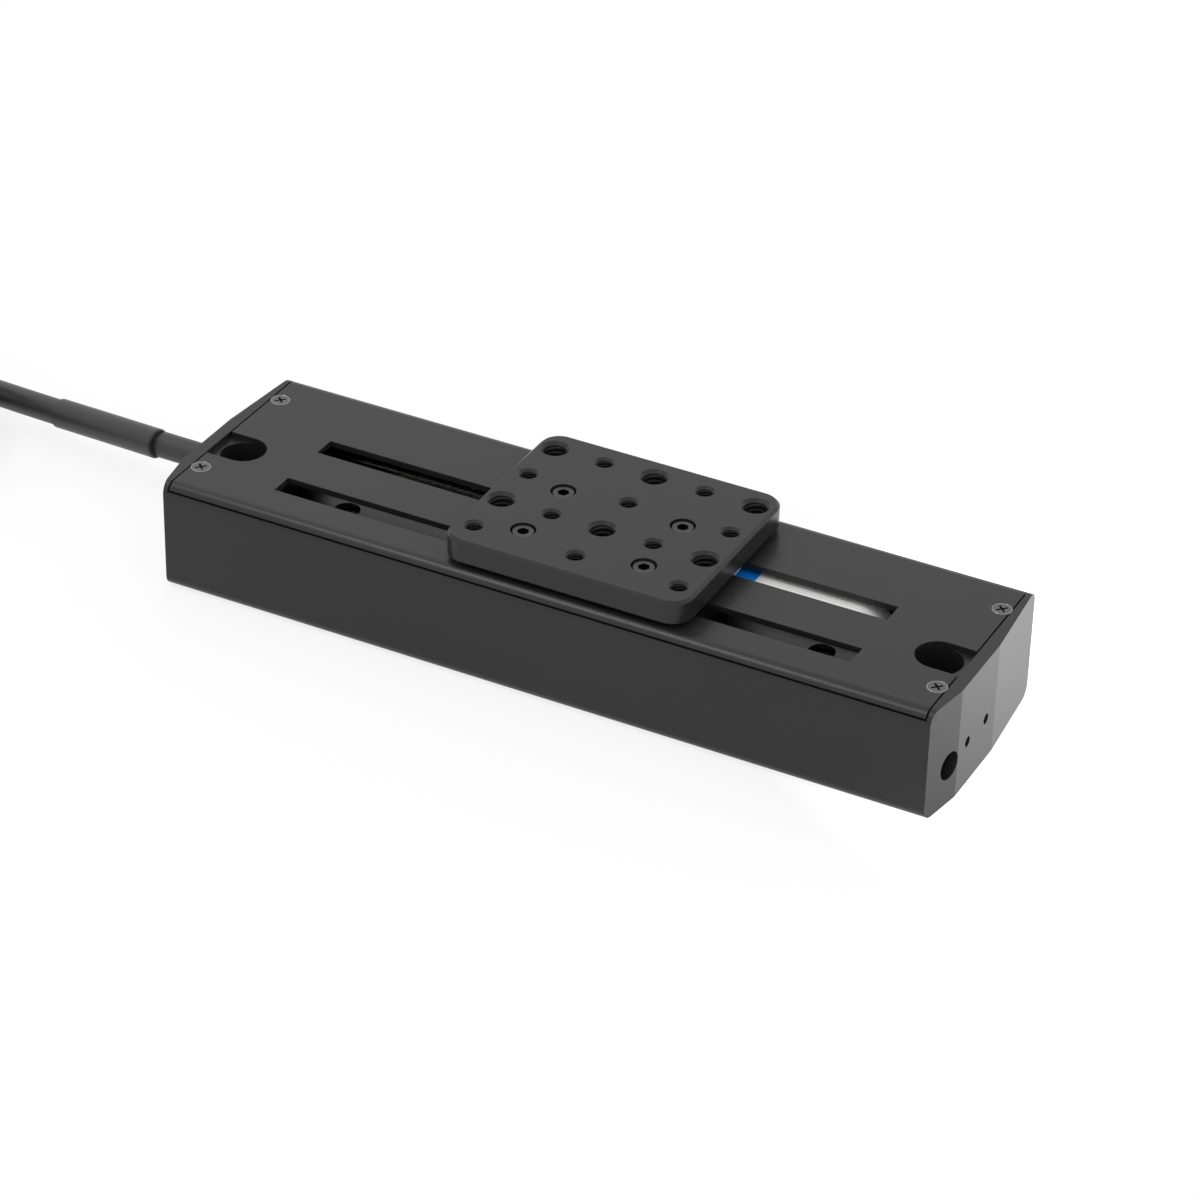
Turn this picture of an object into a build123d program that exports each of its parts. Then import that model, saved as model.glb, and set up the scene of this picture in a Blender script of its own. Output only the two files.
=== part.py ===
# Compact linear translation stage: one guide rail, a flat ironless linear motor, 100 mm of travel.
# Millimetres. X runs along the travel, Y to the rear of the housing, Z up from the mounting face.
from build123d import *
from math import acos, pi, tan
import os

os.makedirs("parts", exist_ok=True)

# Housing, the fixed machined body
end_block = 19.4         # solid block at each end of the pocket
facet_depth = 2.0        # the upright corners lie this far behind the flat of each end face
body_width = 56.8
body_height = 27.6
top_round = 3.0          # long upper edges, carried on by the cover
bottom_round = 2.4
axis_y = -6.2            # line of the rail, the mounting holes and the end flats
end_flat_half = 10.05    # half width of the flat on each end face
wall = 3.0               # long side walls
pocket_corner = 4.0
front_floor_z = 5.0
pad_width = 16.0         # raised pad under the rail
ledge_drop = 1.95        # ledge under the flat ribbon, below the rail pad

# Cover plate
cover_thickness = 1.5
end_wall = 3.0           # that stands up beyond each end of the cover
cover_end_gap = 0.4      # to each end wall
cover_side_gap = 0.5     # shadow line above each long wall
slot_width = 6.05
slot_middle_y = -5.6
slot_spacing = 18.92     # between the middles of the two slots
notch_radius = 5.4
cover_screw_inset = 2.0  # from the end of the cover
cover_screw_y = 17.5
cover_screw_head = 4.6
cover_screw_head_depth = 1.15
cover_screw_length = 7.0

# Mounting holes and other holes of the housing
mount_inset = 9.9        # from the flat of the end face: the two holes lie 175 mm apart
mount_bore = 6.8
mount_counterbore = 11.0
mount_head_seat_z = 9.0
small_tap = 2.5          # core of an M3 thread
end_hole_spacing = 10.0
end_hole_z = 11.35
end_hole_depth = 7.0
port_bore = 6.7          # deep counterbore in the front facet of the right end
port_inset = 8.9         # from the front wall
port_z = 9.9
port_depth = 9.0

# Guide rail and its bearing block
rail_width = 12.0
rail_height = 9.0
rail_depth = 8.05        # rail top below the cover's face
rail_end_gap = 3.0       # to the pocket's end wall
rail_pitch = 40.0
rail_bore = 3.5
rail_counterbore = 6.2
rail_counterbore_depth = 4.5
rail_groove_radius = 1.6
rail_groove_drop = 3.2   # groove middle below the rail top
rail_chamfer = 0.5
block_width = 27.0
block_half = 20.0        # half length of the steel body
block_above_rail = 5.0
block_bottom_gap = 2.4   # above the rail pad
cap_length = 5.0
cap_drop = 1.9           # end caps below the top of the block
seal_thickness = 1.0
running_gap = 0.05

# Moving platform
travel = 100.0
rest_x = 5.5             # platform middle from the middle of the travel, as the photograph shows it
plate_length = 60.3
plate_width = 52.0
plate_thickness = 5.5
plate_gap = 1.35         # running gap above the cover
plate_corner = 5.0
plate_chamfer = 0.7
hole_pitch = 12.7
large_tap = 5.3          # core of a 1/4 in. thread
large_mouth = 6.8
fine_tap = 3.5           # core of a No. 8 thread
fine_mouth = 4.7
pattern_y = 0.3
riser_screw_x = 15.0     # half spacing of the platform screws
riser_width = 5.0
riser_half = 21.5
riser_clearance = 0.5    # to each end of a slot at the limit

# Socket head cap screws, M3
cap_head = 5.5
cap_head_height = 3.0
cap_thread = 3.0
cap_socket = 2.5         # across the flats
cap_clearance = 0.2      # clearance hole over the thread
cap_counterbore = 5.9
cap_seat_below = 3.4     # seat of the platform screws below the top
thread_bite = 4.5        # how far a screw goes into its tapped hole

# Flat linear motor
yoke_depth = 12.5        # from its open front to the rear wall
yoke_drop = 7.1          # top of the yoke below the cover's face
yoke_end_gap = 6.0       # to each end of the pocket
yoke_plate = 2.5
yoke_height = 15.5
magnet_thickness = 3.0
magnet_pitch = 12.0
magnet_length = 11.0
magnet_inset = 0.6
coil_half = 20.0
coil_thickness = 3.4
coil_end_gap = 0.6       # to the yoke's back wall

# Carriage bracket behind the block, which carries the coil and the ribbon socket
bracket_tap = 2.0        # core of an M2.5 thread
bracket_screw_bite = 3.5
bracket_screw_x = 11.0
bracket_screw_drop = 5.0 # below the top of the block
flag_reach = 3.0         # tongue of the arm that passes over the home sensor
bracket_half = 18.0
bracket_thickness = 2.2
arm_drop = 3.1           # top of the arm below the cover
arm_thickness = 1.0
arm_end = 27.8
board_thickness = 1.0
board_start = 20.4
socket_length = 5.0
socket_height = 1.4

# Flat ribbon cable
ribbon_pad_gap = 0.6     # ribbon's corridor to the rail pad and to the yoke
ribbon_yoke_gap = 0.8
ribbon_thickness = 0.3
ribbon_bend_x = 62.0
tab_thickness = 0.5
tab_insert = 2.5         # part of the stiff tab inside the socket
tab_length = 4.9         # part of it outside
ribbon_lift = 0.15       # lower run above the ledge
ribbon_side = 0.2        # ribbon to the sides of its sockets
ribbon_fixed_gap = 18.0  # fixed end of the ribbon from the pocket's end wall
end_pocket_gap = 0.5     # pocket for the bend at full travel
board_length = 15.0      # small board at the fixed end of the ribbon
fixed_board_thickness = 0.6

# Encoder, sensor and stops
scale_width = 5.0
scale_thickness = 0.3
scale_end_gap = 14.0     # to each end of the pocket
head_width = 5.0
head_half = 9.0
head_gap = 0.5
head_flange = 1.8
head_drop = 3.0          # its flange below the top of the block
bumper_width = 6.0
bumper_gap = 0.3         # to the block at each limit
bumper_length = 1.7
bumper_stem = 3.0        # diameter of the stem in the wall
bumper_stem_length = 2.4
sensor_x = -50.2
sensor_board_length = 22.0
sensor_board_width = 7.6

# Cable, fixed in the left end
cable_diameter = 6.4
sleeve_diameter = 7.2
cable_y = 7.5
cable_z = 12.4
cable_stub = 1.0         # of the cable inside the pocket
boot_neck = 8.4          # in the bore of the end wall
boot_collar = 10.0
boot_collar_length = 1.6
boot_length = 8.0
boot_tip = 7.8

# Coil of the spare cable, its tie and its plug
coil_radius = 35.0       # at the middle of the turns
coil_turns = 2.7
coil_section = 13.2
coil_bottom_z = 1.2
tie_thickness = 0.8
tie_slack = 0.3
tie_width = 9.0
plug_width = 13.0
plug_length = 26.0
plug_grip = 14.0         # knurled ring on its front
plug_grip_length = 9.0
nose_width = 9.6
nose_length = 8.0
sleeve_start_x = -120.0
sleeve_length = 40.0

# Values worked out from the ones above
half_width = body_width / 2
cover_bottom_z = body_height - cover_thickness
inner_y = half_width - wall
block_end = block_half + cap_length + seal_thickness
bumper_face = travel / 2 + block_end + bumper_gap
pocket_half = bumper_face + bumper_length
face_x = pocket_half + end_block
corner_x = face_x - facet_depth
cover_half = face_x - end_wall - cover_end_gap
cover_screw_x = cover_half - cover_screw_inset
mount_spacing = 2 * (face_x - mount_inset)
slot_half = travel / 2 + riser_half + riser_clearance
rail_half = pocket_half - rail_end_gap
yoke_half = pocket_half - yoke_end_gap
scale_half = pocket_half - scale_end_gap
port_y = port_inset - half_width
rail_top_z = body_height - rail_depth
rail_base_z = rail_top_z - rail_height
block_top_z = rail_top_z + block_above_rail
plate_bottom_z = body_height + plate_gap
plate_top_z = plate_bottom_z + plate_thickness
rear_slot_y = slot_middle_y + slot_spacing / 2
front_slot_y = slot_middle_y - slot_spacing / 2
pad_front_y = axis_y - pad_width / 2
pad_rear_y = axis_y + pad_width / 2
block_rear_y = axis_y + block_width / 2
block_front_y = axis_y - block_width / 2
forward = travel / 2 - rest_x
ledge_z = rail_base_z - ledge_drop
motor_y0 = inner_y - yoke_depth
yoke_top_z = body_height - yoke_drop
motor_floor_z = yoke_top_z - yoke_height
coil_middle_z = motor_floor_z + yoke_height / 2
arm_top_z = cover_bottom_z - arm_drop
bracket_top_z = arm_top_z - arm_thickness
ribbon_y0 = pad_rear_y + ribbon_pad_gap
ribbon_y1 = motor_y0 - ribbon_yoke_gap
ribbon_width = ribbon_y1 - ribbon_y0
ribbon_fixed_x = ribbon_fixed_gap - pocket_half
ribbon_top_z = arm_top_z + board_thickness + (socket_height + ribbon_thickness) / 2
ribbon_low_z = ledge_z + ribbon_lift
bend_radius = (ribbon_top_z - ribbon_low_z - ribbon_thickness) / 2
arm_tip_x = rest_x + arm_end
tab_end_x = arm_tip_x + tab_length
end_pocket_x = ribbon_bend_x + forward / 2 + bend_radius + ribbon_thickness / 2 + end_pocket_gap
bumper_z = (rail_top_z + block_top_z - cap_drop) / 2
through = 1.0            # how far a cutting tool runs past a face


def box(x0, x1, y0, y1, z0, z1):
    """A block between two corners."""
    return Pos((x0 + x1) / 2, (y0 + y1) / 2, (z0 + z1) / 2) * Box(x1 - x0, y1 - y0, z1 - z0)


def upright(x, y, z0, z1, diameter):
    """A round bar or bore standing on z0."""
    return Pos(x, y, (z0 + z1) / 2) * Cylinder(diameter / 2, z1 - z0)


def along_x(x0, x1, y, z, diameter):
    """A round bar or bore along the travel."""
    return Pos((x0 + x1) / 2, y, z) * Rot(0, 90, 0) * Cylinder(diameter / 2, x1 - x0)


def along_y(x, y0, y1, z, diameter):
    """A round bar or bore across the travel."""
    return Pos(x, (y0 + y1) / 2, z) * Rot(90, 0, 0) * Cylinder(diameter / 2, y1 - y0)


def mouth(x, y, top_z, bore, wide):
    """The countersunk mouth of a hole, open at top_z."""
    depth = (wide - bore) / 2
    return Pos(x, y, top_z - depth / 2) * Cone(bore / 2, wide / 2, depth)


def outer_profile(x0, x1):
    """The housing's section with its rounded edges, drawn out along X."""
    with BuildPart() as made:
        with BuildSketch(Plane.YZ.offset(x0)):
            with Locations((0, body_height / 2)):
                Rectangle(body_width, body_height)
            upper = vertices().group_by(Axis.Z)[-1]
            lower = vertices().group_by(Axis.Z)[0]
            fillet(upper, top_round)
            fillet(lower, bottom_round)
        extrude(amount=x1 - x0)
    return made.part


def end_outline():
    """The plan of the housing: a flat in the middle of each end, with a slanted facet on both sides."""
    flat_front = axis_y - end_flat_half
    flat_rear = axis_y + end_flat_half
    with BuildPart() as made:
        with BuildSketch():
            with BuildLine():
                Polyline(
                    (face_x, flat_front),
                    (face_x, flat_rear),
                    (corner_x, half_width),
                    (-corner_x, half_width),
                    (-face_x, flat_rear),
                    (-face_x, flat_front),
                    (-corner_x, -half_width),
                    (corner_x, -half_width),
                    close=True,
                )
            make_face()
        extrude(amount=body_height)
    return made.part


def milled_pocket(x0, x1, y0, y1, z0, z1, corner):
    """A pocket with the rounded upright corners that an end mill leaves."""
    shape = box(x0, x1, y0, y1, z0, z1)
    return fillet(shape.edges().filter_by(Axis.Z), corner)


def mount_holes():
    cut = []
    for side in (-1, 1):
        x = side * mount_spacing / 2
        cut.append(upright(x, axis_y, -1, cover_bottom_z, mount_bore))
        cut.append(upright(x, axis_y, mount_head_seat_z, cover_bottom_z + 1, mount_counterbore))
    return cut


def rail_screw_places():
    return [(k * rail_pitch / 2) for k in (-3, -1, 1, 3)]


def cover_screw_places():
    return [(sx * cover_screw_x, sy * cover_screw_y) for sx in (-1, 1) for sy in (-1, 1)]


def housing():
    """One machined piece: rounded body, faceted ends, pocket, rail pad and ribbon ledge."""
    body = outer_profile(-face_x, face_x) & end_outline()
    recess_half = cover_half + cover_end_gap
    body -= box(-recess_half, recess_half, -half_width, half_width, cover_bottom_z, body_height + 1)
    shadow_z = cover_bottom_z - cover_side_gap
    for side in (-1, 1):
        y0, y1 = sorted((side * inner_y, side * (half_width + 1)))
        body -= box(-recess_half, recess_half, y0, y1, shadow_z, body_height + 1)
    top = body_height + 1
    body -= milled_pocket(-pocket_half, pocket_half, -inner_y, inner_y, rail_base_z, top, pocket_corner)
    body -= milled_pocket(-pocket_half, pocket_half, -inner_y, pad_front_y, front_floor_z, top, pocket_corner)
    body -= milled_pocket(-pocket_half, pocket_half, pad_rear_y, inner_y, ledge_z, top, pocket_corner)
    body -= milled_pocket(-pocket_half, pocket_half, motor_y0, inner_y, motor_floor_z, top, pocket_corner)
    body -= milled_pocket(
        pocket_half - pocket_corner * 2, end_pocket_x, pad_rear_y, motor_y0, ledge_z, top, 1.5
    )
    body -= mount_holes()
    for x, y in cover_screw_places():
        body -= upright(x, y, cover_bottom_z - cover_screw_length - 1, top, small_tap)
    for x in rail_screw_places():
        body -= upright(x, axis_y, rail_base_z - thread_bite - 1, rail_base_z + 1, small_tap)
    for side in (-1, 1):
        for y in (axis_y - end_hole_spacing / 2, axis_y + end_hole_spacing / 2):
            x0, x1 = sorted((side * (face_x - end_hole_depth), side * (face_x + 1)))
            body -= along_x(x0, x1, y, end_hole_z, small_tap)
        x0, x1 = sorted((side * (pocket_half - 1), side * (pocket_half + bumper_stem_length)))
        body -= along_x(x0, x1, axis_y, bumper_z, bumper_stem)
    body -= along_x(face_x - port_depth, face_x + 1, port_y, port_z, port_bore)
    body -= along_x(face_x - port_depth - thread_bite - 1, face_x, port_y, port_z, small_tap)
    body -= along_x(-face_x - 1, -pocket_half + 1, cable_y, cable_z, boot_neck)
    return body


def top_cover():
    """A thin plate that closes the body and keeps its rounded edges, slotted for the two risers."""
    plate = outer_profile(-cover_half, cover_half)
    plate &= box(-cover_half, cover_half, -half_width, half_width, cover_bottom_z, body_height)
    for y in (front_slot_y, rear_slot_y):
        plate -= box(-slot_half, slot_half, y - slot_width / 2, y + slot_width / 2, 0, body_height + 1)
    for side in (-1, 1):
        plate -= upright(side * mount_spacing / 2, axis_y, 0, body_height + 1, notch_radius * 2)
        x0, x1 = sorted((side * mount_spacing / 2, side * (cover_half + 1)))
        plate -= box(x0, x1, axis_y - notch_radius, axis_y + notch_radius, 0, body_height + 1)
    cone_depth = cover_screw_head_depth
    for x, y in cover_screw_places():
        plate -= upright(x, y, 0, body_height + 1, cap_thread + cap_clearance)
        plate -= Pos(x, y, body_height - cone_depth / 2) * Cone(
            (cap_thread + cap_clearance) / 2, cover_screw_head / 2 + 0.1, cone_depth
        )
    return plate


def countersunk_screw(x, y):
    """A cross-recessed countersunk screw, its head just under the cover's face."""
    top = body_height - 0.1
    depth = cover_screw_head_depth - 0.1
    head = Pos(x, y, top - depth / 2) * Cone(cap_thread / 2, cover_screw_head / 2, depth)
    shank = upright(x, y, cover_bottom_z - cover_screw_length, top - depth, small_tap)
    screw = head + shank
    arm = cover_screw_head * 0.3
    for turn in (45, 135):
        screw -= Pos(x, y, top) * Rot(0, 0, turn) * Box(arm * 2, 0.55, 1.4)
    return screw


def cap_screw(length, bore=small_tap):
    """A socket head cap screw standing on Z = 0, its head above and its shank below."""
    head = Pos(0, 0, cap_head_height / 2) * Cylinder(cap_head / 2, cap_head_height)
    head = chamfer(head.edges().group_by(Axis.Z)[-1], 0.35)
    shank = Pos(0, 0, -length / 2) * Cylinder(bore / 2, length)
    socket = extrude(
        Pos(0, 0, cap_head_height) * RegularPolygon(cap_socket / 2, 6, major_radius=False), amount=-1.6
    )
    return head + shank - socket


def guide_rail():
    """Profile rail with a raceway groove on each flank and counterbored screw holes."""
    half = rail_width / 2
    groove_z = rail_top_z - rail_groove_drop
    with BuildPart() as made:
        with BuildSketch(Plane.YZ.offset(-rail_half)):
            with Locations((axis_y, rail_base_z + rail_height / 2)):
                Rectangle(rail_width, rail_height)
            chamfer(vertices().group_by(Axis.Z)[-1], rail_chamfer)
            with Locations((axis_y - half - 0.6, groove_z), (axis_y + half + 0.6, groove_z)):
                Circle(rail_groove_radius, mode=Mode.SUBTRACT)
        extrude(amount=rail_half * 2)
    rail = made.part
    for x in rail_screw_places():
        rail -= upright(x, axis_y, rail_base_z - 1, rail_top_z + 1, rail_bore)
        rail -= upright(x, axis_y, rail_top_z - rail_counterbore_depth, rail_top_z + 1, rail_counterbore)
    return rail


def rail_screws():
    seat = rail_top_z - rail_counterbore_depth
    screw = cap_screw(rail_height - rail_counterbore_depth + thread_bite)
    return [Pos(x, axis_y, seat) * screw for x in rail_screw_places()]


def saddle_section(x0, x1, bottom_z, top_z, half, gap):
    """An inverted U that straddles the rail and follows its grooves."""
    inner = rail_width / 2 + gap
    with BuildPart() as made:
        with BuildSketch(Plane.YZ.offset(x0)):
            with Locations((axis_y, (bottom_z + top_z) / 2)):
                Rectangle(half * 2, top_z - bottom_z)
            chamfer(vertices().group_by(Axis.Z)[-1], 0.6)
            low = bottom_z - 1
            high = rail_top_z + gap
            with Locations((axis_y, (low + high) / 2)):
                Rectangle(inner * 2, high - low, mode=Mode.SUBTRACT)
        extrude(amount=x1 - x0)
    return made.part


def bearing_block():
    bottom = rail_base_z + block_bottom_gap
    steel = saddle_section(
        rest_x - block_half, rest_x + block_half, bottom, block_top_z, block_width / 2, running_gap
    )
    for x, y in riser_screw_places():
        steel -= upright(x, y, block_top_z - thread_bite, block_top_z + 1, small_tap)
    for x, z in bracket_screw_places():
        y0 = block_rear_y - bracket_screw_bite - 0.5
        steel -= along_y(x, y0, block_rear_y + 1, z, bracket_tap)
    return steel


def bearing_end_caps():
    bottom = rail_base_z + block_bottom_gap + 0.3
    pieces = []
    for side in (-1, 1):
        x0, x1 = sorted((rest_x + side * block_half, rest_x + side * (block_half + cap_length)))
        cap = saddle_section(x0, x1, bottom, block_top_z - cap_drop, block_width / 2 - 0.5, 0.25)
        pieces.append(cap)
    return pieces


def bearing_seals():
    bottom = rail_base_z + block_bottom_gap + 0.6
    pieces = []
    for side in (-1, 1):
        near = rest_x + side * (block_half + cap_length)
        x0, x1 = sorted((near, near + side * seal_thickness))
        pieces.append(
            saddle_section(x0, x1, bottom, block_top_z - cap_drop - 0.4, block_width / 2 - 1.2, running_gap)
        )
    return pieces


def riser_screw_places():
    return [(rest_x + sx * riser_screw_x, y) for sx in (-1, 1) for y in (front_slot_y, rear_slot_y)]


def riser(y):
    """A bar that stands on the block, passes through a slot and carries the platform."""
    bar = box(
        rest_x - riser_half, rest_x + riser_half, y - riser_width / 2, y + riser_width / 2,
        block_top_z, plate_bottom_z,
    )
    bar = fillet(bar.edges().filter_by(Axis.Z), 1.0)
    for side in (-1, 1):
        x = rest_x + side * riser_screw_x
        bar -= upright(x, y, block_top_z - 1, plate_bottom_z + 1, cap_thread + cap_clearance)
    return bar


def tapped_pattern():
    """Places of the large and the small tapped holes on the platform."""
    large, small = [], []
    for row in range(4):
        y = pattern_y + hole_pitch * (1.5 - row)
        for column in range(5):
            x = rest_x + hole_pitch * (column - 2)
            if row % 2 == 0 and column % 2 == 0:
                large.append((x, y))
            elif row % 2 == 0 or column % 2 == 0:
                small.append((x, y))
    return large, small


def platform():
    """The moving plate: rounded corners, chamfered rim, two sizes of tapped holes."""
    plate = box(
        rest_x - plate_length / 2, rest_x + plate_length / 2, -plate_width / 2, plate_width / 2,
        plate_bottom_z, plate_top_z,
    )
    plate = fillet(plate.edges().filter_by(Axis.Z), plate_corner)
    plate = chamfer(plate.faces().sort_by(Axis.Z)[-1].edges(), plate_chamfer)
    large, small = tapped_pattern()
    for places, bore, wide in ((large, large_tap, large_mouth), (small, fine_tap, fine_mouth)):
        for x, y in places:
            plate -= upright(x, y, plate_bottom_z - through, plate_top_z + through, bore)
            plate -= mouth(x, y, plate_top_z, bore, wide)
    for x, y in riser_screw_places():
        plate -= upright(x, y, plate_bottom_z - 1, plate_top_z, cap_thread + cap_clearance)
        plate -= upright(x, y, plate_top_z - cap_seat_below, plate_top_z + 1, cap_counterbore)
    return plate


def platform_screws():
    seat = plate_top_z - cap_seat_below
    length = seat - block_top_z + thread_bite - 0.5
    screw = cap_screw(length)
    return [Pos(x, y, seat) * screw for x, y in riser_screw_places()]


def motor_yoke():
    """A steel channel that lies on its back and opens towards the rail."""
    z0 = motor_floor_z
    z1 = z0 + yoke_height
    y1 = inner_y
    yoke = box(-yoke_half, yoke_half, motor_y0, y1, z0, z1)
    yoke -= box(-yoke_half - 1, yoke_half + 1, motor_y0 - 1, y1 - yoke_plate, z0 + yoke_plate, z1 - yoke_plate)
    return chamfer(yoke.edges().filter_by(Axis.X).group_by(Axis.Z)[-1], 0.4)


def magnets(low):
    """One row of magnets on the lower or the upper plate of the yoke."""
    count = int((yoke_half * 2 - magnet_length) / magnet_pitch) + 1
    y0 = motor_y0 + magnet_inset
    y1 = inner_y - yoke_plate
    z_low = motor_floor_z + yoke_plate
    z_high = motor_floor_z + yoke_height - yoke_plate
    z0 = z_low if low else z_high - magnet_thickness
    pieces = []
    for k in range(count):
        x = (k - (count - 1) / 2) * magnet_pitch
        pieces.append(box(x - magnet_length / 2, x + magnet_length / 2, y0, y1, z0, z0 + magnet_thickness))
    return pieces


def motor_coil():
    """Flat potted coil that runs between the two rows of magnets."""
    coil = box(
        rest_x - coil_half, rest_x + coil_half, bracket_rear_y(), inner_y - yoke_plate - coil_end_gap,
        coil_middle_z - coil_thickness / 2, coil_middle_z + coil_thickness / 2,
    )
    return fillet(coil.edges().filter_by(Axis.Z), 2.0)


def bracket_rear_y():
    return block_rear_y + bracket_thickness


def bracket_screw_places():
    return [(rest_x + side * bracket_screw_x, block_top_z - bracket_screw_drop) for side in (-1, 1)]


def coil_bracket():
    """Plate on the block's rear side, with an arm for the ribbon socket and a flag for the sensor."""
    start = rest_x - bracket_half
    low = coil_middle_z - coil_thickness / 2
    plate = box(start, rest_x + bracket_half, block_rear_y, bracket_rear_y(), low, bracket_top_z)
    arm = box(start, arm_tip_x, block_rear_y + 0.3, ribbon_y1, bracket_top_z, arm_top_z)
    arm = fillet(arm.edges().filter_by(Axis.Z).group_by(Axis.X)[-1], 0.8)
    flag = box(start, start + 6.0, ribbon_y1, ribbon_y1 + flag_reach, arm_top_z - 0.5, arm_top_z)
    piece = plate + arm + flag
    for x, z in bracket_screw_places():
        piece -= along_y(x, block_rear_y - 1, bracket_rear_y() + 1, z, bracket_tap + cap_clearance)
    return piece


def bracket_screws():
    """Low slotted screws through the bracket into the block."""
    pieces = []
    y = bracket_rear_y()
    for x, z in bracket_screw_places():
        screw = along_y(x, y, y + 1.2, z, 3.8) + along_y(x, block_rear_y - bracket_screw_bite, y, z, bracket_tap)
        pieces.append(screw - Pos(x, y + 1.2, z) * Box(5, 0.8, 0.5))
    return pieces


def carriage_board():
    return box(
        rest_x + board_start, arm_tip_x, ribbon_y0 - 0.3, ribbon_y1, arm_top_z, arm_top_z + board_thickness
    )


def socket_shell(x0, x1, z0):
    """A low socket for the flat ribbon, its upper edges bevelled."""
    body = box(x0, x1, ribbon_y0 + 0.1, ribbon_y1 - 0.1, z0, z0 + socket_height)
    return chamfer(body.edges().filter_by(Axis.Y).group_by(Axis.Z)[-1], 0.3)


def ribbon_piece(x0, x1, top_z, thickness):
    """A straight stretch of the ribbon."""
    return box(x0, x1, ribbon_y0 + ribbon_side, ribbon_y1 - ribbon_side, top_z - thickness, top_z)


def ribbon_tab():
    """Stiffened end of the ribbon, pushed into the carriage socket."""
    top = ribbon_top_z + (tab_thickness - ribbon_thickness) / 2
    return ribbon_piece(arm_tip_x - tab_insert, tab_end_x, top, tab_thickness)


def carriage_socket():
    z0 = arm_top_z + board_thickness
    return socket_shell(arm_tip_x - socket_length, arm_tip_x, z0) - ribbon_tab()


def ribbon_upper_run():
    return ribbon_piece(tab_end_x, ribbon_bend_x, ribbon_top_z, ribbon_thickness)


def ribbon_lower_run():
    return ribbon_piece(ribbon_fixed_x, ribbon_bend_x, ribbon_low_z + ribbon_thickness, ribbon_thickness)


def ribbon_bend():
    """The half turn that rolls along at half the carriage's speed."""
    middle_z = (ribbon_top_z + ribbon_low_z) / 2
    y = (ribbon_y0 + ribbon_y1) / 2
    width = ribbon_width - 2 * ribbon_side
    half = ribbon_thickness / 2
    turned = Pos(ribbon_bend_x, y, middle_z) * Rot(90, 0, 0)
    ring = turned * Cylinder(bend_radius + half, width) - turned * Cylinder(bend_radius - half, width)
    return ring & box(ribbon_bend_x, ribbon_bend_x + 2 * bend_radius, y - width, y + width, 0, body_height)


def fixed_board():
    """Small board on the ledge near the cable's end, where the ribbon starts."""
    x0 = ribbon_fixed_x - board_length
    return box(x0, ribbon_fixed_x - 0.2, ribbon_y0, ribbon_y1, ledge_z, ledge_z + fixed_board_thickness)


def fixed_socket():
    x1 = ribbon_fixed_x
    z0 = ledge_z + fixed_board_thickness
    return socket_shell(x1 - socket_length, x1 - 0.2, z0)


def encoder_scale():
    y = (block_front_y - inner_y) / 2
    return box(
        -scale_half, scale_half, y - scale_width / 2, y + scale_width / 2,
        front_floor_z, front_floor_z + scale_thickness,
    )


def read_head():
    """Optical head above the scale, held on the block's front side by its upright flange."""
    y1 = block_front_y
    x0 = rest_x - head_half
    x1 = rest_x + head_half
    low = front_floor_z + scale_thickness + head_gap
    neck_z = rail_base_z + block_bottom_gap + 1
    body = box(x0, x1, y1 - head_width, y1, low, neck_z)
    body = fillet(body.edges().filter_by(Axis.Z), 0.8)
    return body + box(x0, x1, y1 - head_flange, y1, neck_z, block_top_z - head_drop)


def sensor_board():
    """Board of the home sensor, on top of the yoke."""
    x0 = sensor_x - 4.8
    y0 = motor_y0 + 0.4
    return box(x0, x0 + sensor_board_length, y0, y0 + sensor_board_width, yoke_top_z, yoke_top_z + 0.8)


def home_sensor():
    z = yoke_top_z + 0.8
    body = box(sensor_x - 1.8, sensor_x + 1.8, motor_y0 + 0.9, motor_y0 + 5.9, z, z + 0.9)
    return chamfer(body.edges().group_by(Axis.Z)[-1], 0.2)


def sensor_screws():
    z = yoke_top_z + 0.8
    pieces = []
    for x, y in ((sensor_x + 12.0, motor_y0 + 2.3), (sensor_x + 7.0, motor_y0 + 6.0)):
        head = Pos(x, y, z + 0.4) * Cylinder(1.5, 0.8)
        head = chamfer(head.edges().group_by(Axis.Z)[-1], 0.3)
        pieces.append(head - Pos(x, y, z + 0.8) * Cylinder(0.6, 0.8))
    return pieces


def end_bumpers():
    """Rubber stops, each with a stem in the pocket's end wall, just past the block's travel."""
    pieces = []
    for side in (-1, 1):
        x0, x1 = sorted((side * bumper_face, side * pocket_half))
        pad = along_x(x0, x1, axis_y, bumper_z, bumper_width)
        x0, x1 = sorted((side * pocket_half, side * (pocket_half + bumper_stem_length)))
        pieces.append(pad + along_x(x0, x1, axis_y, bumper_z, bumper_stem))
    return pieces


def port_screw():
    """Cap screw at the bottom of the deep counterbore in the right end."""
    return Pos(face_x - port_depth, port_y, port_z) * Rot(0, 90, 0) * cap_screw(thread_bite)


def cable_boot():
    """Strain relief: a neck in the end wall, a collar on the face and a tapering tail."""
    end = -face_x - boot_collar_length
    collar = along_x(end, -corner_x, cable_y, cable_z, boot_collar) - end_outline()
    neck = along_x(-face_x, -pocket_half, cable_y, cable_z, boot_neck)
    turned = Pos(end - boot_length / 2, cable_y, cable_z) * Rot(0, -90, 0)
    tail = turned * Cone(boot_neck / 2, boot_tip / 2, boot_length)
    bore = along_x(end - boot_length - 1, -pocket_half + 1, cable_y, cable_z, cable_diameter)
    return collar + neck + tail - bore


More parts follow.
